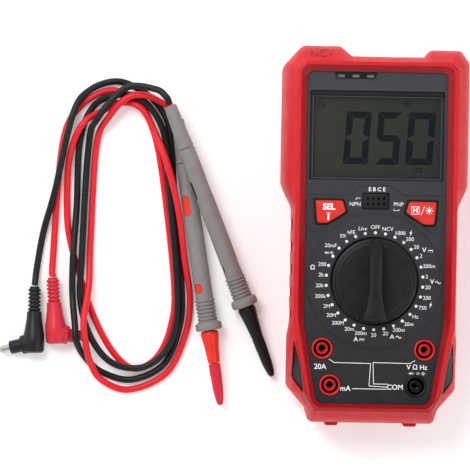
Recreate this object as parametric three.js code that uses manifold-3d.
// Hand-held digital multimeter in a rubber holster, with its pair of test leads.
// Millimetres. The meter lies on its back: +Z comes out of the dial face, +Y points to the display
// end and +X to the right of someone who reads the dial. The origin is under the middle of the
// meter, on the surface it lies on.
import * as THREE from 'three';
import { mergeVertices } from 'three/addons/utils/BufferGeometryUtils.js';
import Module from 'manifold-3d';

const wasm = await Module();
wasm.setup();

// ---- Meter, overall ----
const LENGTH = 183.4;
const WIDTH = 90.4;
const DEPTH = 45.5;

// ---- Fits ----
const FIT = 0.3;
const RUN_FIT = 0.35;

// ---- Holster ----
const RIM_RISE = 3.5;
const RIM_LIP = 0.8;
const CREST_WIDTH = 2.3;
const RIM_SLOPE = 2.7;
const WAIST_INSET = 5.4;
const WING_INSET = 4.3;
const HEEL_INSET = 13.2;
const FOOT_HEIGHT = 1.1;
const FOOT_WIDTH = 6.6;
const FOOT_OFFSET = 18.9;
const RIGHT_HORN_DROP = 1.4;
const HORN_RISE = 5.2;
const GRIP_COUNT = 5;
const GRIP_PITCH = 10.8;
const GRIP_LENGTH = 5.4;
const GRIP_DEPTH = 1.2;
const BACK_LIP = 1.6;

// ---- Case ----
const CASE_WALL = 2;
const REAR_WALL = 2.2;
const FACE_WALL = 2.4;
const SCREW_RADIUS = 1.35;
const SCREW_HEAD_RADIUS = 2.8;
const SCREW_HEAD_HEIGHT = 2;
const SCREW_DEPTH = 10;
const BOSS_WALL = 1.6;

// ---- Dial ----
const KNOB_FROM_BOTTOM = 70.1;
const KNOB_RADIUS = 20.4;
const KNOB_GAP = 0.8;
const KNOB_HEIGHT = 11;
const RECESS_DEPTH = 2;
const HUB_RADIUS = 4.6;
const HUB_KEY = 5;
const ROTOR_INSET = 2.4;
const ROTOR_THICKNESS = 6;
const DIAL_POSITIONS = 30;
const BALL_RADIUS = 1.5;
const DETENT_TOOTH = 0.8;

// ---- Display ----
const DISPLAY_TOP_MARGIN = 9.3;
const DISPLAY_SIDE_MARGIN = 1.7;
const LENS_THICKNESS = 1.2;
const LENS_SINK = 0.5;
const LENS_LEDGE = 1.5;
const LCD_THICKNESS = 2.8;

// ---- Buttons ----
const BUTTON_FROM_KNOB = 38.1;
const BUTTON_FROM_EDGE = 4.7;
const BUTTON_TRAVEL = 1;
const BUTTON_RISE = 2;
const BUTTON_FLANGE = 1;

// ---- Jacks ----
const JACK_RADIUS = 5.15;
const JACK_WALL = 0.75;
const CONTACT_RADIUS = 2.85;
const CONTACT_BORE = 2.05;

// ---- Battery, a 9 V block ----
const BATTERY_LENGTH = 48.5;
const BATTERY_WIDTH = 26.5;
const BATTERY_THICKNESS = 17.5;
const SNAP_THICKNESS = 5;
const BAY_WALL = 1.5;
const BAY_GAP = 0.6;
const COVER_THICKNESS = 1.9;

// ---- Tilt stand ----
const STAND_HALF_WIDTH = 20;
const STAND_LENGTH = 74;
const STAND_THICKNESS = 2.2;
const STAND_BARREL_RADIUS = 2.2;
const STAND_PIN_RADIUS = 1;

// ---- Board ----
const BOARD_THICKNESS = 1.6;
const BOARD_MARGIN = 5.6;
const CHIP_PLACE = 0.438;
const CHIP_SHARE = 0.174;

// ---- Test leads ----
const CABLE_RADIUS = 1.65;
const CABLE_STEPS = 80;
const PROBE_LENGTH = 142;
const BOOT_RADIUS = 4.1;
const GRIP_START = 22.2;
const GRIP_RADIUS = 4.5;
const GUARD_START = 101;
const GUARD_END = 104.9;
const GUARD_RADIUS = 6.5;
const CONE_END = 121.2;
const CORE_RADIUS = 2.8;
const NEEDLE_RADIUS = 1;
const SPIGOT_RADIUS = 1.9;
const PLUG_STEM = 27.5;
const PLUG_RELIEF_RADIUS = 3.1;
const SHROUD_RADIUS = 4.6;
const SHROUD_END = 6.4;
const SLEEVE_RADIUS = 3.3;
const SLEEVE_END = 12;
const PIN_RADIUS = 2;
const PIN_END = 17.4;

// ---- Shape quality ----
const CORNER_STEPS = 2;
const HIDDEN_STEPS = 1;
const LEAD_SIDES = 10;
const CABLE_SIDES = 8;
const ROUND_SIDES = 16;
const SMALL_SIDES = 12;

// ---- Levels and places worked out from the sizes above ----
const halfWidth = WIDTH / 2;
const top = LENGTH / 2;
const bottom = -top;
const waist = halfWidth - WAIST_INSET;
const wing = halfWidth - WING_INSET;
const heel = halfWidth - HEEL_INSET;
const midTop = top - HORN_RISE;
const faceZ = DEPTH - RIM_RISE;
const plateBottom = faceZ - FACE_WALL;
const caseBack = BACK_LIP + FIT;
const knobY = bottom + KNOB_FROM_BOTTOM;
const panelHalf = halfWidth - 11.7;
const panelTop = top - 13.7;
const panelBottom = bottom + 11.5;
const buttonTop = knobY + BUTTON_FROM_KNOB;

const coverTop = caseBack + COVER_THICKNESS;
const batteryBottom = coverTop + 0.4;
const boardBottom = batteryBottom + BATTERY_THICKNESS + 0.8;
const boardTop = boardBottom + BOARD_THICKNESS;
const onBoard = boardTop + FIT;
const splitZ = (boardBottom + boardTop) / 2;

const recessFloor = faceZ - RECESS_DEPTH;
const recessRadius = KNOB_RADIUS + KNOB_GAP;
const dishRadius = recessRadius + 2;
const dishBottom = recessFloor - 2;
const detentTop = dishBottom - FIT;
const rotorTop = dishBottom - 1.5;
const rotorBottom = rotorTop - ROTOR_THICKNESS;
const ballZ = (rotorTop + rotorBottom) / 2;
const rotorRadius = KNOB_RADIUS - ROTOR_INSET;
const ballPlace = rotorRadius - 1.1;
const crestRadius = ballPlace + BALL_RADIUS + 0.6;

const lens = {
  half: panelHalf - DISPLAY_SIDE_MARGIN,
  low: buttonTop + 10.1,
  high: panelTop - DISPLAY_TOP_MARGIN,
  top: faceZ - LENS_SINK,
};
const lcdFloor = plateBottom - FIT - LCD_THICKNESS - 1;

const bay = {
  half: (BATTERY_LENGTH + FIT + SNAP_THICKNESS) / 2 + BAY_GAP,
  halfY: BATTERY_WIDTH / 2 + BAY_GAP,
  y: bottom + 35.2,
};
const coverOpening = { half: bay.half + BAY_WALL, halfY: bay.halfY + BAY_WALL };
const tab = { half: 6, length: 6.5, thickness: 4 };
const coverScrewY = bay.y - coverOpening.halfY - tab.length / 2;

const standHingeY = bay.y + coverOpening.halfY + 7.2 + STAND_LENGTH;
const standHingeZ = caseBack + 2.1;

const screwPlaces = [
  { name: 'top_left', x: -(halfWidth - 12.2), y: top - 16.2 },
  { name: 'top_right', x: halfWidth - 12.2, y: top - 16.2 },
  { name: 'bottom_left', x: -12.5, y: bottom + 12.2 },
  { name: 'bottom_right', x: 12.5, y: bottom + 12.2 },
];
const screwHole = SCREW_RADIUS + RUN_FIT;
const screwSeat = caseBack + SCREW_DEPTH;
const screwTip = plateBottom - 6;

const jackPlaces = [
  { name: 'jack_20a', x: -(panelHalf - 9.1), y: knobY - 32.4, finish: 'redPlastic' },
  { name: 'jack_ma', x: -(panelHalf - 13.1), y: knobY - 49.8, finish: 'redPlastic' },
  { name: 'jack_volt_ohm', x: panelHalf - 9.1, y: knobY - 32.4, finish: 'redPlastic' },
  { name: 'jack_com', x: panelHalf - 13.1, y: knobY - 49.8, finish: 'blackPlastic' },
];

const FINISHES = {
  holster: { color: 0xb8232b, roughness: 0.62, metalness: 0 },
  darkCase: { color: 0x3c3d3f, roughness: 0.55, metalness: 0 },
  knob: { color: 0x2c2d2f, roughness: 0.5, metalness: 0 },
  redPlastic: { color: 0xc62f2c, roughness: 0.45, metalness: 0 },
  blackPlastic: { color: 0x18191a, roughness: 0.45, metalness: 0 },
  whitePlastic: { color: 0xdad8d0, roughness: 0.5, metalness: 0 },
  greyRubber: { color: 0x8d8782, roughness: 0.7, metalness: 0 },
  redRubber: { color: 0xe02a32, roughness: 0.42, metalness: 0 },
  blackRubber: { color: 0x1e1f20, roughness: 0.42, metalness: 0 },
  window: { color: 0x45494c, roughness: 0.1, metalness: 0 },
  lcd: { color: 0x56594b, roughness: 0.25, metalness: 0 },
  board: { color: 0x1f5c38, roughness: 0.6, metalness: 0 },
  nickel: { color: 0xc9c7bf, roughness: 0.25, metalness: 1 },
  brass: { color: 0xb5974a, roughness: 0.3, metalness: 1 },
  steel: { color: 0x8f9296, roughness: 0.35, metalness: 1 },
  battery: { color: 0x33373c, roughness: 0.4, metalness: 0.3 },
  ceramic: { color: 0xe6e2d6, roughness: 0.5, metalness: 0 },
};

// ---------------------------------------------------------------- solids

// Shared vertices only, with no face that has lost its area.
function weld(geometry) {
  const bare = geometry.clone();
  bare.deleteAttribute('normal');
  bare.deleteAttribute('uv');
  const welded = mergeVertices(bare, 1e-4);
  const index = [];
  for (let i = 0; i < welded.index.count; i += 3) {
    const [a, b, c] = [0, 1, 2].map((k) => welded.index.getX(i + k));
    if (a !== b && b !== c && c !== a) {
      index.push(a, b, c);
    }
  }
  welded.setIndex(index);
  return welded;
}

// A three.js geometry as a solid that can be cut and joined.
function solid(geometry) {
  const welded = weld(geometry);
  return new wasm.Manifold(new wasm.Mesh({
    numProp: 3,
    vertProperties: Float32Array.from(welded.attributes.position.array),
    triVerts: Uint32Array.from(welded.index.array),
  }));
}

// A finished solid as a three.js geometry.
function geometryOf(body) {
  const mesh = body.getMesh();
  const geometry = new THREE.BufferGeometry();
  geometry.setAttribute('position', new THREE.BufferAttribute(Float32Array.from(mesh.vertProperties), 3));
  geometry.setIndex(Array.from(mesh.triVerts));
  return geometry;
}

const join = (...bodies) => bodies.flat().reduce((whole, body) => whole.add(body));
const cut = (whole, ...tools) => tools.flat().reduce((rest, tool) => rest.subtract(tool), whole);

const placed = (geometry, x, y, z) => geometry.translate(x, y, z);

// A box from its two opposite corners.
function block(x0, x1, y0, y1, z0, z1) {
  const box = new THREE.BoxGeometry(x1 - x0, y1 - y0, z1 - z0);
  return solid(placed(box, (x0 + x1) / 2, (y0 + y1) / 2, (z0 + z1) / 2));
}

// A solid of revolution about +Z. The profile [radius, height] runs up the outside.
function turned(profile, x = 0, y = 0, sides = ROUND_SIDES) {
  const points = profile.map(([radius, height]) => new THREE.Vector2(radius, height));
  const closes = profile[0][0] > 0;
  const lathe = new THREE.LatheGeometry(closes ? [...points, points[0]] : points, sides);
  return solid(placed(lathe.rotateX(Math.PI / 2), x, y, 0));
}

// An upright cylinder.
const post = (x, y, radius, z0, z1, sides = ROUND_SIDES) => (
  turned([[0, z0], [radius, z0], [radius, z1], [0, z1]], x, y, sides)
);

// Corner i of a polygon, moved so that both edges that meet there move inwards by inset.
function movedCorner(corners, i, inset) {
  const count = corners.length;
  const [before, here, after] = [i + count - 1, i, i + 1].map((k) => {
    const [x, y] = corners[k % count];
    return new THREE.Vector2(x, y);
  });
  const arriving = here.clone().sub(before).normalize();
  const leaving = after.clone().sub(here).normalize();
  const inward = new THREE.Vector2(-arriving.y - leaving.y, arriving.x + leaving.x);
  return here.addScaledVector(inward, inset / (1 + arriving.dot(leaving)));
}

// Outline through anticlockwise corners [x, y, reach]. A corner is rounded by a curve that starts
// and ends at its reach along the two edges, so outlines with as many corners match point by point.
function ring(corners, inset = 0, steps = CORNER_STEPS) {
  const moved = corners.map((_, i) => movedCorner(corners, i, inset));
  const onEdge = (i, k) => {
    const here = moved[i];
    const other = moved[(k + moved.length) % moved.length];
    const share = Math.min(corners[i][2] / here.distanceTo(other), 0.45);
    return here.clone().lerp(other, share);
  };
  return moved.flatMap((here, i) => {
    const bend = new THREE.QuadraticBezierCurve(onEdge(i, i - 1), here, onEdge(i, i + 1));
    return bend.getPoints(steps);
  });
}

// Right-hand corners, listed from the bottom up, completed by their mirror image.
const mirrored = (corners) => [
  ...corners,
  ...corners.map(([x, y, reach]) => [-x, y, reach]).reverse(),
];

const box2 = (x0, x1, y0, y1, reach) => (
  [[x0, y0, reach], [x1, y0, reach], [x1, y1, reach], [x0, y1, reach]]
);

// A closed skin through matching outlines, each { outline, z }, from the lowest up.
function loft(sections) {
  const count = sections[0].outline.length;
  const positions = sections.flatMap(({ outline, z }) => outline.flatMap((point) => [point.x, point.y, z]));
  const index = [];
  for (let level = 0; level + 1 < sections.length; level += 1) {
    for (let i = 0; i < count; i += 1) {
      const a = level * count + i;
      const b = level * count + ((i + 1) % count);
      index.push(a, b, b + count, a, b + count, a + count);
    }
  }
  const cap = (outline, start, up) => {
    THREE.ShapeUtils.triangulateShape(outline, []).forEach(([i, j, k]) => {
      const turn = outline[j].clone().sub(outline[i]).cross(outline[k].clone().sub(outline[i]));
      const face = (turn > 0) === up ? [i, j, k] : [i, k, j];
      index.push(...face.map((corner) => corner + start));
    });
  };
  cap(sections[0].outline, 0, false);
  cap(sections[sections.length - 1].outline, (sections.length - 1) * count, true);
  const geometry = new THREE.BufferGeometry();
  geometry.setAttribute('position', new THREE.Float32BufferAttribute(positions, 3));
  geometry.setIndex(index);
  return solid(geometry);
}

const prism = (outline, z0, z1) => loft([{ outline, z: z0 }, { outline, z: z1 }]);

// A close-wound spring of round wire along +X, from x0 to x1, as one closed tube.
function coilSpring(x0, x1, y, z, radius, wire, turns) {
  const points = [];
  const perTurn = 6;
  for (let i = 0; i <= turns * perTurn; i += 1) {
    const angle = (i / perTurn) * Math.PI * 2;
    const along = x0 + wire + ((x1 - x0 - 2 * wire) * i) / (turns * perTurn);
    points.push(new THREE.Vector3(along, y + radius * Math.cos(angle), z + radius * Math.sin(angle)));
  }
  return solid(tube(points, wire, 4, turns * perTurn));
}

// A round cord of the given radius along a smooth line through the points.
function tube(points, radius, sides, steps) {
  const section = new THREE.Shape();
  for (let i = 0; i < sides; i += 1) {
    const angle = (i / sides) * Math.PI * 2;
    const [x, y] = [radius * Math.cos(angle), radius * Math.sin(angle)];
    if (i === 0) {
      section.moveTo(x, y);
    } else {
      section.lineTo(x, y);
    }
  }
  section.closePath();
  const extrudePath = new THREE.CatmullRomCurve3(points, false, 'catmullrom', 0.5);
  return new THREE.ExtrudeGeometry(section, { steps, bevelEnabled: false, extrudePath });
}

// ---------------------------------------------------------------- outer shape

// Side outline of the meter, seen along -Z, where it is widest.
const sideCorners = [
  [heel - 2, bottom + FOOT_HEIGHT, 4],
  [heel, bottom + 8.2, 1.5],
  [wing, bottom + 18.2, 2.5],
  [wing, bottom + 42.2, 2.5],
  [waist, bottom + 48.5, 3],
  [waist, knobY + 34.9, 4],
  [halfWidth, knobY + 45.6, 5],
  [halfWidth, top - 7.4, 2.5],
  [halfWidth - 4.2, top - RIGHT_HORN_DROP, 2.5],
  [26.2, top - RIGHT_HORN_DROP, 1.8],
  [23, midTop, 1.8],
  [-12, midTop, 2],
  [-17.6, top, 2.5],
  [-(halfWidth - 9.3), top, 4],
  [-halfWidth, top - 10.5, 4],
  [-halfWidth, knobY + 45.6, 5],
  [-waist, knobY + 34.9, 4],
  [-waist, bottom + 48.5, 3],
  [-wing, bottom + 42.2, 2.5],
  [-wing, bottom + 18.2, 2.5],
  [-heel, bottom + 8.2, 1.5],
  [-(heel - 2), bottom + FOOT_HEIGHT, 4],
];

// Outer edge of the crest that frames the panel, corner for corner like the side outline.
const crestHalf = panelHalf + RIM_SLOPE + CREST_WIDTH;
const crestTop = panelTop + RIM_SLOPE + CREST_WIDTH - 0.2;
const crestLeft = [
  [-17.6, crestTop, 2.5],
  [-(crestHalf - 4), crestTop, 4],
  [-crestHalf, crestTop - 4.6, 4],
];
const crestCorners = [
  [panelHalf - 6.1, bottom + 8.7, 3],
  [panelHalf - 3.3, bottom + 12.2, 1.5],
  [panelHalf - 1.3, bottom + 17.2, 2.5],
  [crestHalf - 1.5, bottom + 42.2, 2.5],
  [crestHalf, bottom + 48.5, 3],
  [crestHalf, knobY + 34.9, 4],
  [crestHalf, knobY + 45.6, 5],
  [crestHalf, crestTop - 4.6, 2.5],
  [crestHalf - 4, crestTop, 2.5],
  [26.2, crestTop, 1.4],
  [23, crestTop, 1.4],
  [-12, crestTop, 2],
  ...crestLeft,
  [-crestHalf, knobY + 45.6, 5],
  [-crestHalf, knobY + 34.9, 4],
  [-crestHalf, bottom + 48.5, 3],
  [-(crestHalf - 1.5), bottom + 42.2, 2.5],
  [-(panelHalf - 1.3), bottom + 17.2, 2.5],
  [-(panelHalf - 3.3), bottom + 12.2, 1.5],
  [-(panelHalf - 6.1), bottom + 8.7, 3],
];

// Visible edge of the dark panel, and the top of the slope that rises from it to the crest.
const panelCorners = mirrored([
  [panelHalf - 8.3, panelBottom, 1.5],
  [panelHalf - 6.1, panelBottom + 2.2, 1.5],
  [panelHalf - 1.5, panelBottom + 30.2, 4],
  [panelHalf, panelBottom + 40.2, 4],
  [panelHalf, panelTop, 3],
]);
const slopeCorners = mirrored([
  [panelHalf - 7.2, panelBottom - 1.8, 2],
  [panelHalf - 4.2, panelBottom + 1.2, 2],
  [panelHalf + 0.9, panelBottom + 30.2, 4],
  [panelHalf + RIM_SLOPE, panelBottom + 40.2, 4],
  [panelHalf + RIM_SLOPE, panelTop + RIM_SLOPE, 4],
]);

// Rows of a skin from the bottom up. blend goes from the side outline (0) to the crest (1).
const holsterRows = [
  { z: 0, blend: 0, inset: 4.4 },
  { z: 1.2, blend: 0, inset: 3 },
  { z: 5, blend: 0, inset: 1 },
  { z: 11, blend: 0, inset: 0 },
  { z: faceZ - 24, blend: 0, inset: 0 },
  { z: faceZ - 12, blend: 0.08, inset: 0 },
  { z: faceZ - 4, blend: 0.35, inset: 0 },
  { z: faceZ + 1, blend: 0.8, inset: 0 },
  { z: DEPTH - 0.5, blend: 0.97, inset: 0 },
  { z: DEPTH, blend: 1, inset: 0.4 },
];
const caseRows = [
  { z: caseBack, blend: 0, inset: 5.6 },
  { z: caseBack + 3.6, blend: 0, inset: 3.6 },
  { z: caseBack + 10, blend: 0, inset: 2.7 },
  { z: splitZ + 2, blend: 0, inset: 2.7 },
  { z: faceZ - 12, blend: 0.06, inset: 2.7 },
  { z: faceZ, blend: 1, inset: 1.8 },
];

// Row of a skin at any height between two that are given.
function rowAt(rows, z) {
  const above = rows.findIndex((row) => row.z >= z);
  const [low, high] = [rows[Math.max(above - 1, 0)], rows[above]];
  const share = high === low ? 0 : (z - low.z) / (high.z - low.z);
  return {
    z,
    blend: THREE.MathUtils.lerp(low.blend, high.blend, share),
    inset: THREE.MathUtils.lerp(low.inset, high.inset, share),
  };
}

// The part of a skin between two heights, moved inwards by extra.
function skin(rows, z0, z1, extra = 0, steps = HIDDEN_STEPS) {
  const inside = rows.filter((row) => row.z > z0 && row.z < z1);
  return loft([rowAt(rows, z0), ...inside, rowAt(rows, z1)].map(({ z, blend, inset }) => {
    const crest = ring(crestCorners, inset + extra, steps);
    const side = ring(sideCorners, inset + extra, steps);
    return { outline: side.map((point, i) => point.lerp(crest[i], blend)), z };
  }));
}

// Small windows in the holster's wings, where the case shows. side is -1 for the left one.
const windowFloor = faceZ - 9;
const wingWindow = (side) => {
  const right = [
    [wing - 7.8, bottom + 16.6, 0.8],
    [wing - 2.2, bottom + 23.4, 1.5],
    [wing - 3, bottom + 41.7, 0.8],
    [wing - 5.9, bottom + 29.7, 3],
  ];
  return side > 0 ? right : right.map(([x, y, reach]) => [-x, y, reach]).reverse();
};

// Lugs of the case that look out of slots in the holster's top end, and hold it on.
const lugs = [
  { x0: -31.9, x1: -24.1, y1: top },
  { x0: -3.6, x1: 10, y1: midTop },
];
const lugBlock = ({ x0, x1, y1 }, extra) => (
  block(x0 - extra, x1 + extra, y1 - 4, y1 + 2, splitZ + 1.7 - extra, splitZ + 7.7 + extra)
);

// ---------------------------------------------------------------- holster and case

function holster() {
  const outside = skin(holsterRows, 0, DEPTH, 0, CORNER_STEPS);
  const feet = [-1, 1].map((side) => {
    const x = side * FOOT_OFFSET;
    const corners = box2(x - FOOT_WIDTH / 2, x + FOOT_WIDTH / 2, bottom, bottom + 3, 1.2);
    return prism(ring(corners), 12, faceZ - 14);
  });
  const cavityRows = caseRows.map((row, i) => {
    const shift = i === 0 ? -FIT : 0;
    return { ...row, z: row.z + (i === caseRows.length - 1 ? FIT : shift) };
  });
  const cavity = skin(cavityRows, BACK_LIP, faceZ + FIT, -FIT);
  const panel = ring(panelCorners);
  const slope = ring(slopeCorners);
  const frontOpening = loft([
    { outline: panel, z: faceZ - 1 },
    { outline: panel, z: faceZ + RIM_LIP },
    { outline: slope, z: DEPTH },
    { outline: slope, z: DEPTH + 1 },
  ]);
  const backOpening = prism(ring(mirrored([
    [coverOpening.half - 7.5, coverScrewY - tab.length / 2 - 2.2, 4],
    [coverOpening.half + 1.8, bay.y - coverOpening.halfY + 1.2, 5],
    [coverOpening.half + 1.8, standHingeY + 24, 5],
    [coverOpening.half - 6, standHingeY + 32, 5],
  ])), -1, BACK_LIP + 1);
  const windows = [-1, 1].map((side) => prism(ring(wingWindow(side)), windowFloor, DEPTH + 1));
  return cut(join(outside, feet), cavity, frontOpening, backOpening, windows, gripNotches(),
    lugs.map((lug) => lugBlock(lug, FIT)));
}

// Finger notches along both sides of the waist.
function gripNotches() {
  const notches = [];
  for (let i = 0; i < GRIP_COUNT; i += 1) {
    const high = knobY + 29 - i * GRIP_PITCH;
    [-1, 1].forEach((side) => {
      const [inner, outer] = [side * (waist - GRIP_DEPTH), side * (waist + 2)];
      const corners = box2(Math.min(inner, outer), Math.max(inner, outer), high - GRIP_LENGTH, high, 0.8);
      notches.push(prism(ring(corners), 9, faceZ - 3));
    });
  }
  return notches;
}

function frontCover() {
  const shell = cut(
    skin(caseRows, splitZ + FIT / 2, faceZ),
    skin(caseRows, splitZ, plateBottom, CASE_WALL),
  );
  const dish = post(0, knobY, dishRadius, dishBottom, plateBottom + 1, 40);
  const bosses = screwPlaces.map(({ x, y }) => post(x, y, screwHole + 1.7, boardTop + FIT, plateBottom + 1));
  const pads = [-1, 1].map((side) => prism(ring(wingWindow(side), FIT), windowFloor + FIT, DEPTH));
  const lugBodies = lugs.map((lug) => lugBlock(lug, 0));
  const within = skin(caseRows, splitZ + FIT / 2, faceZ);
  const underHolster = skin(holsterRows, 1, DEPTH, 0.5, CORNER_STEPS);
  const seenThrough = join(pads, lugBodies).intersect(underHolster);
  const body = join(shell, dish, join(bosses).intersect(within), seenThrough);
  return cut(body, faceOpenings(), screwPlaces.map(({ x, y }) => post(x, y, screwHole, 0, screwTip + 1)));
}

// Everything that is cut through the face plate.
function faceOpenings() {
  const above = faceZ + 1;
  const lensPocket = box2(-lens.half - FIT, lens.half + FIT, lens.low - FIT, lens.high + FIT, 1);
  const view = box2(-lens.half + LENS_LEDGE, lens.half - LENS_LEDGE, lens.low + LENS_LEDGE,
    lens.high - LENS_LEDGE, 1);
  const socketHole = box2(-socket.half - FIT, socket.half + FIT, socket.y - socket.halfY - FIT,
    socket.y + socket.halfY + FIT, 0.8);
  return [
    prism(ring(lensPocket), lens.top - LENS_THICKNESS - FIT, above),
    prism(ring(view), dishBottom - 1, above),
    prism(ring(socketHole), dishBottom - 1, above),
    post(0, knobY, recessRadius, recessFloor, above, 40),
    post(0, knobY, HUB_RADIUS + RUN_FIT, dishBottom - 1, above),
    ...[-1, 1].map((side) => prism(ring(buttonCorners(side), -RUN_FIT), dishBottom - 1, above)),
    ...jackPlaces.map(({ x, y }) => post(x, y, JACK_RADIUS + FIT, dishBottom - 1, above)),
    ...indicatorPlaces.map((x) => indicatorBlock(x, FIT, plateBottom - 1, above)),
  ];
}

function rearCover() {
  const shell = cut(
    skin(caseRows, caseBack, splitZ - FIT / 2),
    skin(caseRows, caseBack + REAR_WALL, splitZ, CASE_WALL),
  );
  const [bayX, bayY] = [coverOpening.half + 0.4, coverOpening.halfY + 0.4];
  const bayOuter = block(-bayX, bayX, bay.y - bayY, bay.y + bayY, caseBack + 1, boardBottom - 2.5);
  const hinge = block(-STAND_HALF_WIDTH - 5, STAND_HALF_WIDTH + 5, standHingeY - 6, standHingeY + 4.5,
    caseBack + 1, standHingeZ + 4);
  const bosses = screwPlaces.map(({ x, y }) => (
    post(x, y, SCREW_HEAD_RADIUS + BOSS_WALL, caseBack + 1, boardBottom - FIT)
  ));
  const coverBoss = post(0, coverScrewY, screwHole + 2.2, caseBack + 1, caseBack + 16);
  const ribs = [28, 46, 64].map((y) => (
    block(-waist + 4, waist - 4, knobY + y - 0.6, knobY + y + 0.6, caseBack + 1, caseBack + 7)
  ));
  const within = skin(caseRows, caseBack, splitZ - FIT / 2);
  const inside = join(bayOuter, hinge, bosses, coverBoss, ribs).intersect(within);
  return cut(join(shell, inside), rearOpenings());
}

// Battery bay, screw holes and the recess that the tilt stand folds into.
function rearOpenings() {
  const under = caseBack - 1;
  const cover = batteryCoverOutline(RUN_FIT);
  const hinge = new THREE.CylinderGeometry(STAND_BARREL_RADIUS + 0.4, STAND_BARREL_RADIUS + 0.4,
    2 * STAND_HALF_WIDTH + 1, ROUND_SIDES).rotateZ(Math.PI / 2);
  const pin = new THREE.CylinderGeometry(STAND_PIN_RADIUS + RUN_FIT, STAND_PIN_RADIUS + RUN_FIT,
    2 * STAND_HALF_WIDTH + 7, SMALL_SIDES).rotateZ(Math.PI / 2);
  return [
    prism(cover.plate, under, caseBack + REAR_WALL),
    prism(cover.tab, under, caseBack + tab.thickness + FIT),
    block(-bay.half, bay.half, bay.y - bay.halfY, bay.y + bay.halfY, under, boardBottom),
    post(0, coverScrewY, screwHole, under, caseBack + 14),
    block(-STAND_HALF_WIDTH - 0.5, STAND_HALF_WIDTH + 0.5, standHingeY - STAND_LENGTH - 0.6,
      standHingeY, under, caseBack + 1.2),
    block(-9, 9, standHingeY - STAND_LENGTH - 3.5, standHingeY - STAND_LENGTH + 1, under, caseBack + 1.2),
    block(-STAND_HALF_WIDTH - 0.5, STAND_HALF_WIDTH + 0.5, standHingeY - 4.5, standHingeY,
      under, standHingeZ + RUN_FIT),
    solid(placed(hinge, 0, standHingeY, standHingeZ)),
    solid(placed(pin, 0, standHingeY, standHingeZ)),
    ...screwPlaces.map(({ x, y }) => post(x, y, SCREW_HEAD_RADIUS + 0.4, under, screwSeat)),
    ...screwPlaces.map(({ x, y }) => post(x, y, screwHole, under, boardBottom)),
  ];
}

// Pan-head screw that stands on its head, with its seat at the given height.
function screw(x, y, seat, tip, headRadius = SCREW_HEAD_RADIUS) {
  const slot = block(x - headRadius, x + headRadius, y - 0.4, y + 0.4,
    seat - SCREW_HEAD_HEIGHT - 1, seat - SCREW_HEAD_HEIGHT + 0.8);
  const body = turned([
    [0, seat - SCREW_HEAD_HEIGHT],
    [headRadius - 0.6, seat - SCREW_HEAD_HEIGHT],
    [headRadius, seat - SCREW_HEAD_HEIGHT + 0.6],
    [headRadius, seat],
    [SCREW_RADIUS, seat],
    [SCREW_RADIUS, tip - 1],
    [0.5, tip],
    [0, tip],
  ], x, y, SMALL_SIDES);
  return cut(body, slot);
}

// ---------------------------------------------------------------- battery and stand

// Outlines of the battery cover's plate and screw tab, grown by extra.
function batteryCoverOutline(extra) {
  const gap = RUN_FIT - extra;
  const half = coverOpening.half - gap;
  const halfY = coverOpening.halfY - gap;
  const tabLow = bay.y - coverOpening.halfY - tab.length + gap;
  return {
    plate: ring(box2(-half, half, bay.y - halfY, bay.y + halfY, 2)),
    tab: ring(box2(-tab.half + gap, tab.half - gap, tabLow, bay.y - bay.halfY, 1.5)),
  };
}

function batteryCover() {
  const outline = batteryCoverOutline(0);
  const tongue = block(-bay.half + 1, bay.half - 1, bay.y + bay.halfY - 1.4, bay.y + bay.halfY - RUN_FIT,
    caseBack + 1, batteryBottom + 2);
  const batteryRoom = block(-bay.half, bay.half, bay.y - bay.halfY, bay.y + bay.halfY - 0.3,
    coverTop, boardBottom);
  const grooves = [-8, -4, 0, 4, 8].map((y) => (
    block(-12, 12, bay.y + y - 0.6, bay.y + y + 0.6, caseBack - 1, caseBack + 0.5)
  ));
  const plate = prism(outline.plate, caseBack, coverTop);
  const screwTab = cut(prism(outline.tab, caseBack, caseBack + tab.thickness), batteryRoom);
  return cut(join(plate, screwTab, cut(tongue, batteryRoom)), grooves,
    post(0, coverScrewY, screwHole, caseBack - 1, coverTop + 10),
    post(0, coverScrewY, 3, caseBack - 1, caseBack + 2.4));
}

function battery() {
  const x0 = -bay.half + BAY_GAP;
  const [low, high] = [batteryBottom, batteryBottom + BATTERY_THICKNESS];
  const corners = box2(x0, x0 + BATTERY_LENGTH, bay.y - BATTERY_WIDTH / 2, bay.y + BATTERY_WIDTH / 2, 2);
  return loft([
    { outline: ring(corners, 0.5), z: low },
    { outline: ring(corners), z: low + 0.8 },
    { outline: ring(corners), z: high - 0.8 },
    { outline: ring(corners, 0.5), z: high },
  ]);
}

// Press-stud connector on the battery's terminal end.
function batterySnap() {
  const x0 = bay.half - BAY_GAP - SNAP_THICKNESS;
  const z = batteryBottom + BATTERY_THICKNESS / 2;
  const body = prism(ring(box2(x0 + 1.6, x0 + SNAP_THICKNESS, bay.y - 12, bay.y + 12, 1.2)), z - 6, z + 6);
  const studs = [-6.4, 6.4].map((y) => {
    const stud = new THREE.CylinderGeometry(3.2, 3.2, 3, SMALL_SIDES).rotateZ(Math.PI / 2);
    return solid(placed(stud, x0 + 1.6, bay.y + y, z));
  });
  return join(body, studs);
}

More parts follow.
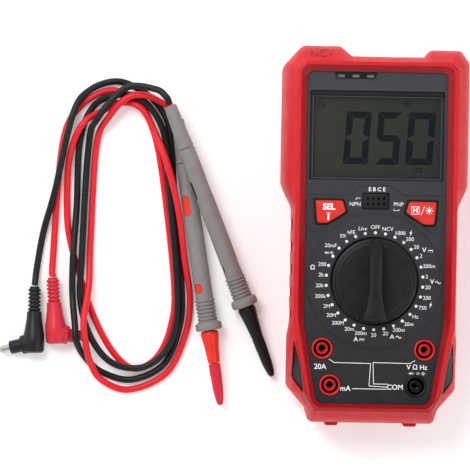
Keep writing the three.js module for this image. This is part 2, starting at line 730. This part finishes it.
function tiltStand() {
  const low = (caseBack - STAND_THICKNESS) / 2 + 0.75;
  const end = standHingeY - STAND_LENGTH;
  const corners = box2(-STAND_HALF_WIDTH, STAND_HALF_WIDTH, end, standHingeY, 5);
  const plate = cut(
    prism(ring(corners), low, low + STAND_THICKNESS),
    block(-STAND_HALF_WIDTH - 1, STAND_HALF_WIDTH + 1, standHingeY - 1.2, standHingeY + 1, 0, 9),
    [-1, 1].map((side) => (
      prism(ring(box2(side * 10 - 5, side * 10 + 5, end + 12, standHingeY - 14, 2)), -1, low + 0.8)
    )),
  );
  const web = block(-STAND_HALF_WIDTH, STAND_HALF_WIDTH, standHingeY - 3.9, standHingeY - 1.2,
    low, standHingeZ);
  const barrel = new THREE.CylinderGeometry(STAND_BARREL_RADIUS, STAND_BARREL_RADIUS,
    2 * STAND_HALF_WIDTH, ROUND_SIDES).rotateZ(Math.PI / 2);
  const pin = new THREE.CylinderGeometry(STAND_PIN_RADIUS, STAND_PIN_RADIUS,
    2 * STAND_HALF_WIDTH + 5, SMALL_SIDES).rotateZ(Math.PI / 2);
  return join(plate, web, solid(placed(barrel, 0, standHingeY, standHingeZ)),
    solid(placed(pin, 0, standHingeY, standHingeZ)));
}

// ---------------------------------------------------------------- display and board

const displayLens = () => {
  const corners = box2(-lens.half, lens.half, lens.low, lens.high, 1);
  return prism(ring(corners), lens.top - LENS_THICKNESS, lens.top);
};

const glass = {
  half: lens.half - 0.9,
  low: lens.low + 0.4,
  high: lens.high - 1.2,
};

const lcdGlass = () => block(-glass.half, glass.half, glass.low, glass.high,
  lcdFloor + FIT, lcdFloor + FIT + LCD_THICKNESS);

function lcdFrame() {
  const rim = 1.2 + FIT;
  const outer = box2(-glass.half - rim, glass.half + rim, glass.low - rim, glass.high + rim, 1);
  return cut(
    prism(ring(outer), onBoard, plateBottom - FIT),
    block(-glass.half - FIT, glass.half + FIT, glass.low - FIT, glass.high + FIT, lcdFloor, faceZ),
    block(-glass.half + 1.5, glass.half - 1.5, glass.low + 1.5, glass.high - 1.5, boardBottom, faceZ),
  );
}

const zebraStrip = () => block(-glass.half + 5, glass.half - 5, glass.low + 2, glass.low + 4.5,
  onBoard, lcdFloor);

function mainBoard() {
  return cut(
    prism(ring(sideCorners, BOARD_MARGIN, 1), boardBottom, boardTop),
    post(0, knobY, HUB_RADIUS, 0, faceZ, SMALL_SIDES),
    screwPlaces.map(({ x, y }) => post(x, y, screwHole + 0.2, 0, faceZ, SMALL_SIDES)),
  );
}

// The chip lies under the display, between the zebra strip and the frame's far side.
// Its size and its place follow the room that the display leaves there.
function mainChip() {
  const low = glass.low + 4.5;
  const room = glass.high - 1.5 - low;
  const y = low + CHIP_PLACE * room;
  const half = CHIP_SHARE * room;
  return join(
    block(-half, half, y - half, y + half, onBoard, onBoard + 2),
    block(-half - 1, half + 1, y - half * 5 / 6, y + half * 5 / 6, onBoard, onBoard + 0.6),
  );
}

const buzzerY = bottom + 13.6;
const buzzer = () => cut(post(0, buzzerY, 5.8, onBoard, onBoard + 5), post(0, buzzerY, 1, onBoard + 3, faceZ));

function fuse(y, length, radius) {
  const half = length / 2;
  const profile = [
    [0, -half],
    [radius, -half],
    [radius, -half + 5],
    [radius - 0.35, -half + 5],
    [radius - 0.35, half - 5],
    [radius, half - 5],
    [radius, half],
    [0, half],
  ].map(([r, h]) => new THREE.Vector2(r, h));
  const body = new THREE.LatheGeometry(profile, SMALL_SIDES).rotateZ(-Math.PI / 2);
  return solid(placed(body, 0, y, onBoard + radius + 0.6));
}

// Thick bent wire that carries the large current.
function currentShunt() {
  const [half, y] = [10, knobY - 46.6];
  const points = [
    [-half, 0.2], [-half, 3.5], [-half + 3, 6.4], [0, 7.2], [half - 3, 6.4], [half, 3.5], [half, 0.2],
  ].map(([x, z]) => new THREE.Vector3(x, y, onBoard + z));
  return solid(tube(points, 0.9, 8, 16));
}

const ncvAntenna = () => join(
  block(-30, -20, top - 9.4, top - 8.6, onBoard, onBoard + 6),
  block(-30, -20, top - 9.4, top - 6.4, onBoard, onBoard + 0.8),
);

const switchTop = onBoard + 5;
const tactSwitch = (x) => join(
  block(x - 3, x + 3, buttonTop - 9.5, buttonTop - 3.5, onBoard, onBoard + 3.5),
  post(x, buttonTop - 6.5, 1.6, onBoard + 3, switchTop, SMALL_SIDES),
);

const socket = { half: 6.15, halfY: 3.7, y: buttonTop };

// Transistor test socket: two rows of four holes.
function transistorSocket() {
  const body = prism(ring(box2(-socket.half, socket.half, socket.y - socket.halfY,
    socket.y + socket.halfY, 0.8)), plateBottom - 3, faceZ - 0.1);
  const columns = [-1.5, -0.5, 0.5, 1.5].map((column) => column * 2.54);
  const rows = [-1.27, 1.27].map((row) => socket.y + row);
  const places = columns.flatMap((x) => rows.map((y) => [x, y]));
  const pins = places.map(([x, y]) => block(x - 0.3, x + 0.3, y - 0.3, y + 0.3, onBoard, plateBottom - 2));
  const holes = places.map(([x, y]) => post(x, y, 0.65, faceZ - 4, faceZ + 1, 6));
  return cut(join(body, pins), holes);
}

const indicatorPlaces = [-17.5, -10.6, -3.7];
const indicatorY = panelTop - 2.1;
const indicatorBlock = (x, extra, z0, z1) => (
  block(x - 1.6 - extra, x + 1.6 + extra, indicatorY - 0.65 - extra, indicatorY + 0.65 + extra, z0, z1)
);

// One clear bar that carries the light of three lamps up to the face.
const lightGuide = () => join(
  block(-20.2, -1, indicatorY - 1.5, indicatorY + 1.5, plateBottom - 1.6, plateBottom - FIT),
  indicatorPlaces.map((x) => indicatorBlock(x, 0, plateBottom - 1, faceZ - 0.1)),
);

// ---------------------------------------------------------------- buttons and dial

// Outline of a button beside the dial: straight outer sides and an inner edge that follows the
// dial's circle. side is -1 for the left one.
function buttonCorners(side) {
  const outer = panelHalf - BUTTON_FROM_EDGE;
  const right = [
    [outer - 14.5, buttonTop - 5.2, 0.8],
    [outer - 5.9, buttonTop - 10.8, 1.2],
    [outer - 0.9, buttonTop - 10.8, 1.2],
    [outer, buttonTop, 0.8],
    [outer - 12.9, buttonTop, 0.8],
  ];
  return side > 0 ? right : right.map(([x, y, reach]) => [-x, y, reach]).reverse();
}

function pushButton(side) {
  const corners = buttonCorners(side);
  const x = side * (panelHalf - BUTTON_FROM_EDGE - 6);
  const flangeTop = plateBottom - FIT;
  return join(
    loft([
      { outline: ring(corners), z: flangeTop - 0.5 },
      { outline: ring(corners), z: faceZ + BUTTON_RISE - 0.6 },
      { outline: ring(corners, 0.5), z: faceZ + BUTTON_RISE },
    ]),
    prism(ring(corners, -BUTTON_FLANGE), flangeTop - 1.3, flangeTop),
    post(x, buttonTop - 6.5, 2.2, switchTop + BUTTON_TRAVEL + FIT, flangeTop - 1, SMALL_SIDES),
  );
}

// The knob: a skirt, a raised disc and a bar that points at the chosen range.
function selectorKnob() {
  const skirtBottom = recessFloor + RUN_FIT;
  const knobTop = faceZ + KNOB_HEIGHT;
  const discTop = skirtBottom + 4.2;
  const skirt = turned([
    [0, skirtBottom],
    [KNOB_RADIUS, skirtBottom],
    [KNOB_RADIUS, skirtBottom + 2.6],
    [KNOB_RADIUS - 0.5, skirtBottom + 3.2],
    [KNOB_RADIUS - 1.4, skirtBottom + 3.4],
    [KNOB_RADIUS - 1.9, discTop],
    [0, discTop],
  ], 0, 0, 48);
  const barCorners = mirrored([
    [6.2, -KNOB_RADIUS + 1.6, 1],
    [4.6, -KNOB_RADIUS + 7, 2],
    [3.1, -KNOB_RADIUS + 15, 4],
    [3.3, KNOB_RADIUS - 7.9, 4],
    [2.5, KNOB_RADIUS - 0.6, 0.8],
  ]);
  const bar = loft([
    { outline: ring(barCorners), z: discTop - 1 },
    { outline: ring(barCorners), z: knobTop - 1.2 },
    { outline: ring(barCorners, 0.9), z: knobTop },
  ]);
  const ramp = new THREE.BoxGeometry(20, 30, 12);
  ramp.translate(0, 15, 6);
  ramp.rotateX(-0.82);
  const sloped = cut(bar, solid(placed(ramp, 0, KNOB_RADIUS - 8.4, knobTop)));
  const hub = post(0, 0, HUB_RADIUS, rotorTop + FIT, skirtBottom + 1);
  const key = block(-HUB_KEY / 2, HUB_KEY / 2, -HUB_KEY / 2, HUB_KEY / 2, rotorBottom + 1.8, rotorTop + 1);
  return join(skirt, sloped, hub, key).translate([0, knobY, 0]);
}

function selectorRotor() {
  const socketHalf = HUB_KEY / 2 + FIT;
  const ballBore = new THREE.CylinderGeometry(BALL_RADIUS + FIT, BALL_RADIUS + FIT,
    rotorRadius, SMALL_SIDES).rotateZ(Math.PI / 2);
  return cut(
    post(0, 0, rotorRadius, rotorBottom, rotorTop, 36),
    block(-socketHalf, socketHalf, -socketHalf, socketHalf, rotorBottom + 1.5, faceZ),
    solid(placed(ballBore, 6.5 + rotorRadius / 2, 0, ballZ)),
  ).translate([0, knobY, 0]);
}

// Ring under the face with one notch for each position of the dial.
function detentRing() {
  const notches = [];
  for (let i = 0; i < DIAL_POSITIONS; i += 1) {
    const step = (Math.PI * 2) / DIAL_POSITIONS;
    [[0, crestRadius + DETENT_TOOTH], [0.5, crestRadius]].forEach(([share, radius]) => {
      const angle = (i + share) * step;
      notches.push(new THREE.Vector2(radius * Math.cos(angle), radius * Math.sin(angle)));
    });
  }
  const low = ballZ - 2;
  return cut(
    post(0, 0, dishRadius - 0.4, low, detentTop, 24),
    prism(notches, low - 1, detentTop + 1),
  ).translate([0, knobY, 0]);
}

const detentBall = () => solid(placed(
  new THREE.SphereGeometry(BALL_RADIUS, 12, 8), ballPlace, knobY, ballZ));

const detentSpring = () => coilSpring(6.9, ballPlace - BALL_RADIUS - FIT, knobY, ballZ,
  BALL_RADIUS - 0.45, 0.25, 5);

// Bent leaf under the rotor that bridges tracks on the board.
function wiperContact() {
  const [low, high] = [boardTop + 0.4, rotorBottom - FIT];
  const leaf = new THREE.Shape([
    [-9, high], [-9, high - 0.5], [-6, high - 0.5], [-2.2, low], [-0.8, low], [0, low + 0.7],
    [0.8, low], [2.2, low], [6, high - 0.5], [9, high - 0.5], [9, high],
    [5.6, high], [1.9, low + 0.6], [0, low + 1.5], [-1.9, low + 0.6], [-5.6, high],
  ].map(([x, y]) => new THREE.Vector2(x, y)));
  const strip = new THREE.ExtrudeGeometry(leaf, { depth: 5, bevelEnabled: false }).rotateX(Math.PI / 2);
  return solid(placed(strip, 0, knobY - 8, 0));
}

// ---------------------------------------------------------------- jacks

const jackInsulator = ({ x, y }) => turned([
  [CONTACT_RADIUS + FIT, onBoard],
  [JACK_RADIUS, onBoard],
  [JACK_RADIUS, faceZ - 0.1],
  [JACK_RADIUS - JACK_WALL, faceZ - 0.1],
  [JACK_RADIUS - JACK_WALL, onBoard + 3],
  [CONTACT_RADIUS + FIT, onBoard + 3],
], x, y);

const jackContact = ({ x, y }) => turned([
  [0, onBoard],
  [CONTACT_RADIUS, onBoard],
  [CONTACT_RADIUS, faceZ - 1.2],
  [CONTACT_BORE, faceZ - 1.2],
  [CONTACT_BORE, onBoard + 3],
  [0, onBoard + 3],
], x, y, 16);

// ---------------------------------------------------------------- test leads

// Both leads lie coiled to the left of the meter, measured from the middle of its left side.
const leads = {
  red: {
    tail: [-50.9, 55.6, 3.65], tip: [-27.2, -84.4, 7.7], roll: 31,
    elbow: [-108.8, -50.6, 5.6], relief: [-111.1, -23.1, 3.3], shroud: [0.98, -0.15, -0.11],
    grip: 'greyRubber', body: 'redPlastic', tipCap: 'redRubber', cable: 'redRubber',
  },
  black: {
    tail: [-54.4, 61.6, 14.7], tip: [-2.1, -69.8, 3.9], roll: 80,
    elbow: [-119.5, -55.3, 5.6], relief: [-119.8, -27.7, 3.3], shroud: [-0.96, -0.24, -0.11],
    grip: 'greyRubber', body: 'blackPlastic', tipCap: 'blackRubber', cable: 'blackRubber',
  },
};

// The way each cord lies from its plug, round the coil and up to its probe. z is the cord's centre.
const redRoute = [
  [-111.1, -22.8, 3.3], [-111.2, -13.8, 1.7], [-107.6, 42, 1.7], [-99.3, 61, 1.7], [-84.5, 69.4, 1.7],
  [-71.5, 64.8, 1.7], [-64.4, 54, 1.7], [-58.6, 32, 1.7], [-51.2, -25, 1.7], [-52.6, -47, 1.7],
  [-59.2, -62, 1.7], [-70, -67.6, 1.7], [-80, -60.5, 1.7], [-90, -43.5, 1.7], [-98.5, -20, 1.7],
  [-103.8, 0, 1.7], [-104.8, 20, 1.7], [-103.4, 38, 3.4], [-97.4, 52.5, 6], [-87.4, 59.4, 3.4],
  [-78.5, 63.4, 3.6], [-69, 60.8, 5.2], [-61.8, 49, 5.8], [-54.6, 31, 9], [-49.4, 10, 6.6],
  [-46, -14, 4.7], [-43.2, -33, 2], [-45.4, -51, 1.7], [-54.2, -69.5, 1.7], [-72.5, -78, 1.7],
  [-86, -73.2, 4.4], [-91.6, -64.3, 7.4], [-94, -53.5, 10.8], [-94.9, -43.5, 10.2], [-93, -27, 5.6],
  [-92.8, -5, 1.8], [-90.7, 42, 1.9], [-84.2, 56.6, 6.8], [-75.5, 65.6, 8.9], [-66.8, 66.9, 8.4],
  [-57.2, 63, 3.9], [-53.2, 61.3, 3.6], [-51.7, 59, 3.5],
  [-51, 56.1, 3.64],
];
const blackRoute = [
  [-119.8, -27.4, 3.3], [-118.8, -17.3, 1.9], [-115.9, 0, 1.9], [-110.6, 19, 5.4], [-102.4, 57, 5.8],
  [-94.5, 69.2, 3], [-80.6, 73.9, 1.7], [-66.5, 68, 1.7], [-58, 58.5, 1.7], [-54.2, 46.5, 1.7],
  [-51.6, 15.9, 1.7], [-47.4, -28.3, 1.7], [-48.4, -47.5, 1.7], [-55.6, -65.2, 1.7], [-71.2, -73, 1.7],
  [-86, -69.6, 1.7], [-94.6, -62, 3.6], [-98.3, -54, 10.7], [-99.3, -45.5, 9.6], [-101, -31, 5.6],
  [-101, -13, 5.7], [-99.9, 12, 2], [-99, 43.5, 1.7], [-92.8, 61, 1.8], [-80.8, 67, 5.3],
  [-68, 64.6, 5.4], [-57.4, 48.5, 5], [-53.7, 15.9, 4.9], [-49.3, -33, 4.9], [-52.4, -54.5, 5],
  [-64.5, -66.2, 5.1], [-80, -65.2, 5.4], [-90.8, -53.5, 7.8], [-97, -35, 5.3], [-96.7, -12, 5],
  [-94.6, 41, 3], [-90.2, 54.8, 8.6], [-76.5, 70.2, 9.6], [-62, 69.8, 13.2], [-56.3, 65.9, 15],
  [-54.6, 62.1, 14.74],
];

const vector = ([x, y, z]) => new THREE.Vector3(x, y, z);

// Turns a piece drawn up +Z so that it starts at one point and heads for another.
// The piece's own +X is turned as near as it can be to the given side.
function aimed(body, start, end, side) {
  const along = vector(end).sub(vector(start)).normalize();
  const across = vector(side).addScaledVector(along, -vector(side).dot(along)).normalize();
  const frame = new THREE.Matrix4().makeBasis(across, along.clone().cross(across), along);
  frame.setPosition(vector(start));
  return solid(geometryOf(body).applyMatrix4(frame));
}

// The side a probe's windows face: straight up, rolled about the probe.
function windowSide({ tail, tip, roll }) {
  const along = vector(tip).sub(vector(tail)).normalize();
  const up = new THREE.Vector3(0, 0, 1);
  return up.addScaledVector(along, -up.dot(along)).applyAxisAngle(along, (roll * Math.PI) / 180).toArray();
}

// Two windows through a probe's grip, as boxes that stand out on both sides of it.
const gripWindows = (extra) => [[43, 5], [84, 2.4]].map(([place, half]) => (
  block(-GRIP_RADIUS - 0.1, GRIP_RADIUS + 0.1, -2 - extra, 2 + extra, place - half - extra,
    place + half + extra)
));

// Profile points [radius, height] of a run of ribs.
function ribs(start, end, count, high, low) {
  const pitch = (end - start) / count;
  return Array.from({ length: count }, (_, i) => [
    [high, start + i * pitch + 0.1],
    [high, start + (i + 0.55) * pitch],
    [low, start + (i + 0.6) * pitch],
    [low, start + (i + 1) * pitch],
  ]).flat();
}

const probeBoot = () => turned([
  [0, 0],
  [2.5, 0],
  ...ribs(1, 14, 3, 3.2, 2.7),
  [BOOT_RADIUS - 0.3, 16],
  [BOOT_RADIUS, GRIP_START - FIT],
  [CORE_RADIUS + FIT, GRIP_START - FIT],
  [CORE_RADIUS + FIT, 13.7],
  [0, 13.7],
], 0, 0, LEAD_SIDES);

const probeGrip = () => cut(turned([
  [CORE_RADIUS + FIT, GRIP_START],
  [GRIP_RADIUS - 0.4, GRIP_START],
  [GRIP_RADIUS - 0.1, 60],
  ...ribs(GUARD_START - 10, GUARD_START - 1, 3, GRIP_RADIUS + 0.4, GRIP_RADIUS - 0.3),
  [GUARD_RADIUS - 0.5, GUARD_START],
  [GUARD_RADIUS, GUARD_START + 0.8],
  [GUARD_RADIUS, GUARD_END - 0.8],
  [GUARD_RADIUS - 0.5, GUARD_END],
  [CORE_RADIUS + FIT, GUARD_END],
], 0, 0, LEAD_SIDES), gripWindows(FIT));

// Insulated middle of a probe, with the pads that show through the grip's windows.
const probeCore = () => cut(
  join(
    turned([
      [0, 14],
      [CORE_RADIUS, 14],
      [CORE_RADIUS, GUARD_END + FIT],
      [3.9, GUARD_END + FIT],
      [4.5, GUARD_END + 2.1],
      [2.9, CONE_END],
      [SPIGOT_RADIUS, CONE_END],
      [SPIGOT_RADIUS, CONE_END + 5.8],
      [0, CONE_END + 5.8],
    ], 0, 0, LEAD_SIDES),
    gripWindows(0).map((window) => window.intersect(post(0, 0, GRIP_RADIUS - 0.4, 30, 95, LEAD_SIDES))),
  ),
  post(0, 0, NEEDLE_RADIUS + FIT, 107.7, PROBE_LENGTH, SMALL_SIDES),
);

const probeNeedle = () => turned([
  [0, 108],
  [NEEDLE_RADIUS, 108],
  [NEEDLE_RADIUS, PROBE_LENGTH - 6.5],
  [0.3, PROBE_LENGTH - 4],
  [0, PROBE_LENGTH - 4],
], 0, 0, SMALL_SIDES);

const tipCap = () => turned([
  [0, PROBE_LENGTH - 3],
  [NEEDLE_RADIUS + FIT, PROBE_LENGTH - 3],
  [NEEDLE_RADIUS + FIT, CONE_END + 6.4],
  [SPIGOT_RADIUS + FIT, CONE_END + 6.4],
  [SPIGOT_RADIUS + FIT, CONE_END + FIT],
  [2.9, CONE_END + FIT],
  [2.9, CONE_END + 6.8],
  [2.6, PROBE_LENGTH - 8],
  [1.8, PROBE_LENGTH - 2],
  [0.8, PROBE_LENGTH],
  [0, PROBE_LENGTH],
], 0, 0, LEAD_SIDES);

// Angled plug: a ribbed stem with the cord, and a shroud square to it that carries the pin.
function plugBody({ elbow, relief, shroud }) {
  const stem = turned([
    [0, -SHROUD_RADIUS - 0.6],
    [SHROUD_RADIUS - 1, -SHROUD_RADIUS - 0.6],
    [SHROUD_RADIUS + 0.5, -SHROUD_RADIUS + 1],
    [SHROUD_RADIUS + 0.5, SHROUD_RADIUS],
    [PLUG_RELIEF_RADIUS + 0.6, 12],
    ...ribs(PLUG_STEM - 12, PLUG_STEM - 0.6, 3, PLUG_RELIEF_RADIUS, PLUG_RELIEF_RADIUS - 0.6),
    [PLUG_RELIEF_RADIUS - 0.8, PLUG_STEM],
    [0, PLUG_STEM],
  ], 0, 0, LEAD_SIDES);
  const nose = turned([
    [0, 0],
    [SHROUD_RADIUS, 0],
    [SHROUD_RADIUS, SHROUD_END - 0.6],
    [SHROUD_RADIUS - 0.6, SHROUD_END],
    [SLEEVE_RADIUS, SHROUD_END],
    [SLEEVE_RADIUS, SLEEVE_END],
    [0, SLEEVE_END],
  ], 0, 0, LEAD_SIDES);
  const bore = post(0, 0, PIN_RADIUS + FIT, SHROUD_END - 0.4, SLEEVE_END + 1, SMALL_SIDES);
  const up = [0, 0, 1];
  return cut(
    join(aimed(stem, elbow, relief, up), aimed(nose, elbow, ahead(elbow, shroud), up)),
    aimed(bore, elbow, ahead(elbow, shroud), up),
  );
}

const ahead = (start, way) => vector(start).add(vector(way)).toArray();

function plugPin({ elbow, shroud }) {
  const pin = turned([
    [0, SHROUD_END - 0.1],
    [PIN_RADIUS, SHROUD_END - 0.1],
    [PIN_RADIUS, PIN_END - 1],
    [PIN_RADIUS - 0.7, PIN_END],
    [0, PIN_END],
  ], 0, 0, SMALL_SIDES);
  return aimed(pin, elbow, ahead(elbow, shroud), [0, 0, 1]);
}

// ---------------------------------------------------------------- the model

const model = new THREE.Group();

function add(parent, name, shape, finish) {
  const geometry = geometryOf(shape);
  geometry.computeVertexNormals();
  const mesh = new THREE.Mesh(geometry, new THREE.MeshStandardMaterial(FINISHES[finish]));
  mesh.name = name;
  parent.add(mesh);
}

add(model, 'holster', holster(), 'holster');
add(model, 'front_cover', frontCover(), 'darkCase');
add(model, 'rear_cover', rearCover(), 'darkCase');
screwPlaces.forEach(({ name, x, y }) => {
  add(model, `case_screw_${name}`, screw(x, y, screwSeat - FIT, screwTip), 'steel');
});
add(model, 'battery_cover', batteryCover(), 'darkCase');
add(model, 'battery_cover_screw', screw(0, coverScrewY, caseBack + 2.1, caseBack + 12, 2.6), 'steel');
add(model, 'battery', battery(), 'battery');
add(model, 'battery_snap', batterySnap(), 'blackPlastic');
add(model, 'tilt_stand', tiltStand(), 'darkCase');

add(model, 'display_lens', displayLens(), 'window');
add(model, 'lcd_glass', lcdGlass(), 'lcd');
add(model, 'lcd_frame', lcdFrame(), 'whitePlastic');
add(model, 'zebra_strip', zebraStrip(), 'blackRubber');
add(model, 'light_guide', lightGuide(), 'window');

add(model, 'main_board', mainBoard(), 'board');
add(model, 'main_chip', mainChip(), 'blackPlastic');
add(model, 'buzzer', buzzer(), 'blackPlastic');
add(model, 'fuse_ma', fuse(knobY - 31.4, 20, 2.6), 'ceramic');
add(model, 'fuse_20a', fuse(knobY - 40, 24, 3.1), 'ceramic');
add(model, 'current_shunt', currentShunt(), 'brass');
add(model, 'ncv_antenna', ncvAntenna(), 'brass');
add(model, 'transistor_socket', transistorSocket(), 'blackPlastic');

[['select', -1], ['hold', 1]].forEach(([name, side]) => {
  add(model, `${name}_button`, pushButton(side), 'redPlastic');
  add(model, `${name}_switch`, tactSwitch(side * (panelHalf - BUTTON_FROM_EDGE - 6)), 'blackPlastic');
});

add(model, 'selector_knob', selectorKnob(), 'knob');
add(model, 'selector_rotor', selectorRotor(), 'whitePlastic');
add(model, 'detent_ring', detentRing(), 'whitePlastic');
add(model, 'detent_ball', detentBall(), 'steel');
add(model, 'detent_spring', detentSpring(), 'steel');
add(model, 'wiper_contact', wiperContact(), 'brass');

jackPlaces.forEach((jack) => {
  add(model, `${jack.name}_insulator`, jackInsulator(jack), jack.finish);
  add(model, `${jack.name}_contact`, jackContact(jack), 'nickel');
});

// The leads keep their distance from the meter's side whatever its width.
const leadGroup = new THREE.Group();
leadGroup.position.x = -halfWidth;
model.add(leadGroup);
[['red', redRoute], ['black', blackRoute]].forEach(([name, route]) => {
  const lead = leads[name];
  const aimProbe = (body) => aimed(body, lead.tail, lead.tip, windowSide(lead));
  const cord = tube(route.map(vector), CABLE_RADIUS, CABLE_SIDES, CABLE_STEPS);
  add(leadGroup, `${name}_cable`, solid(cord), lead.cable);
  add(leadGroup, `${name}_plug_body`, plugBody(lead), lead.body);
  add(leadGroup, `${name}_plug_pin`, plugPin(lead), 'nickel');
  add(leadGroup, `${name}_probe_boot`, aimProbe(probeBoot()), lead.grip);
  add(leadGroup, `${name}_probe_grip`, aimProbe(probeGrip()), lead.grip);
  add(leadGroup, `${name}_probe_core`, aimProbe(probeCore()), lead.body);
  add(leadGroup, `${name}_probe_needle`, aimProbe(probeNeedle()), 'nickel');
  add(leadGroup, `${name}_tip_cap`, aimProbe(tipCap()), lead.tipCap);
});

export default model;
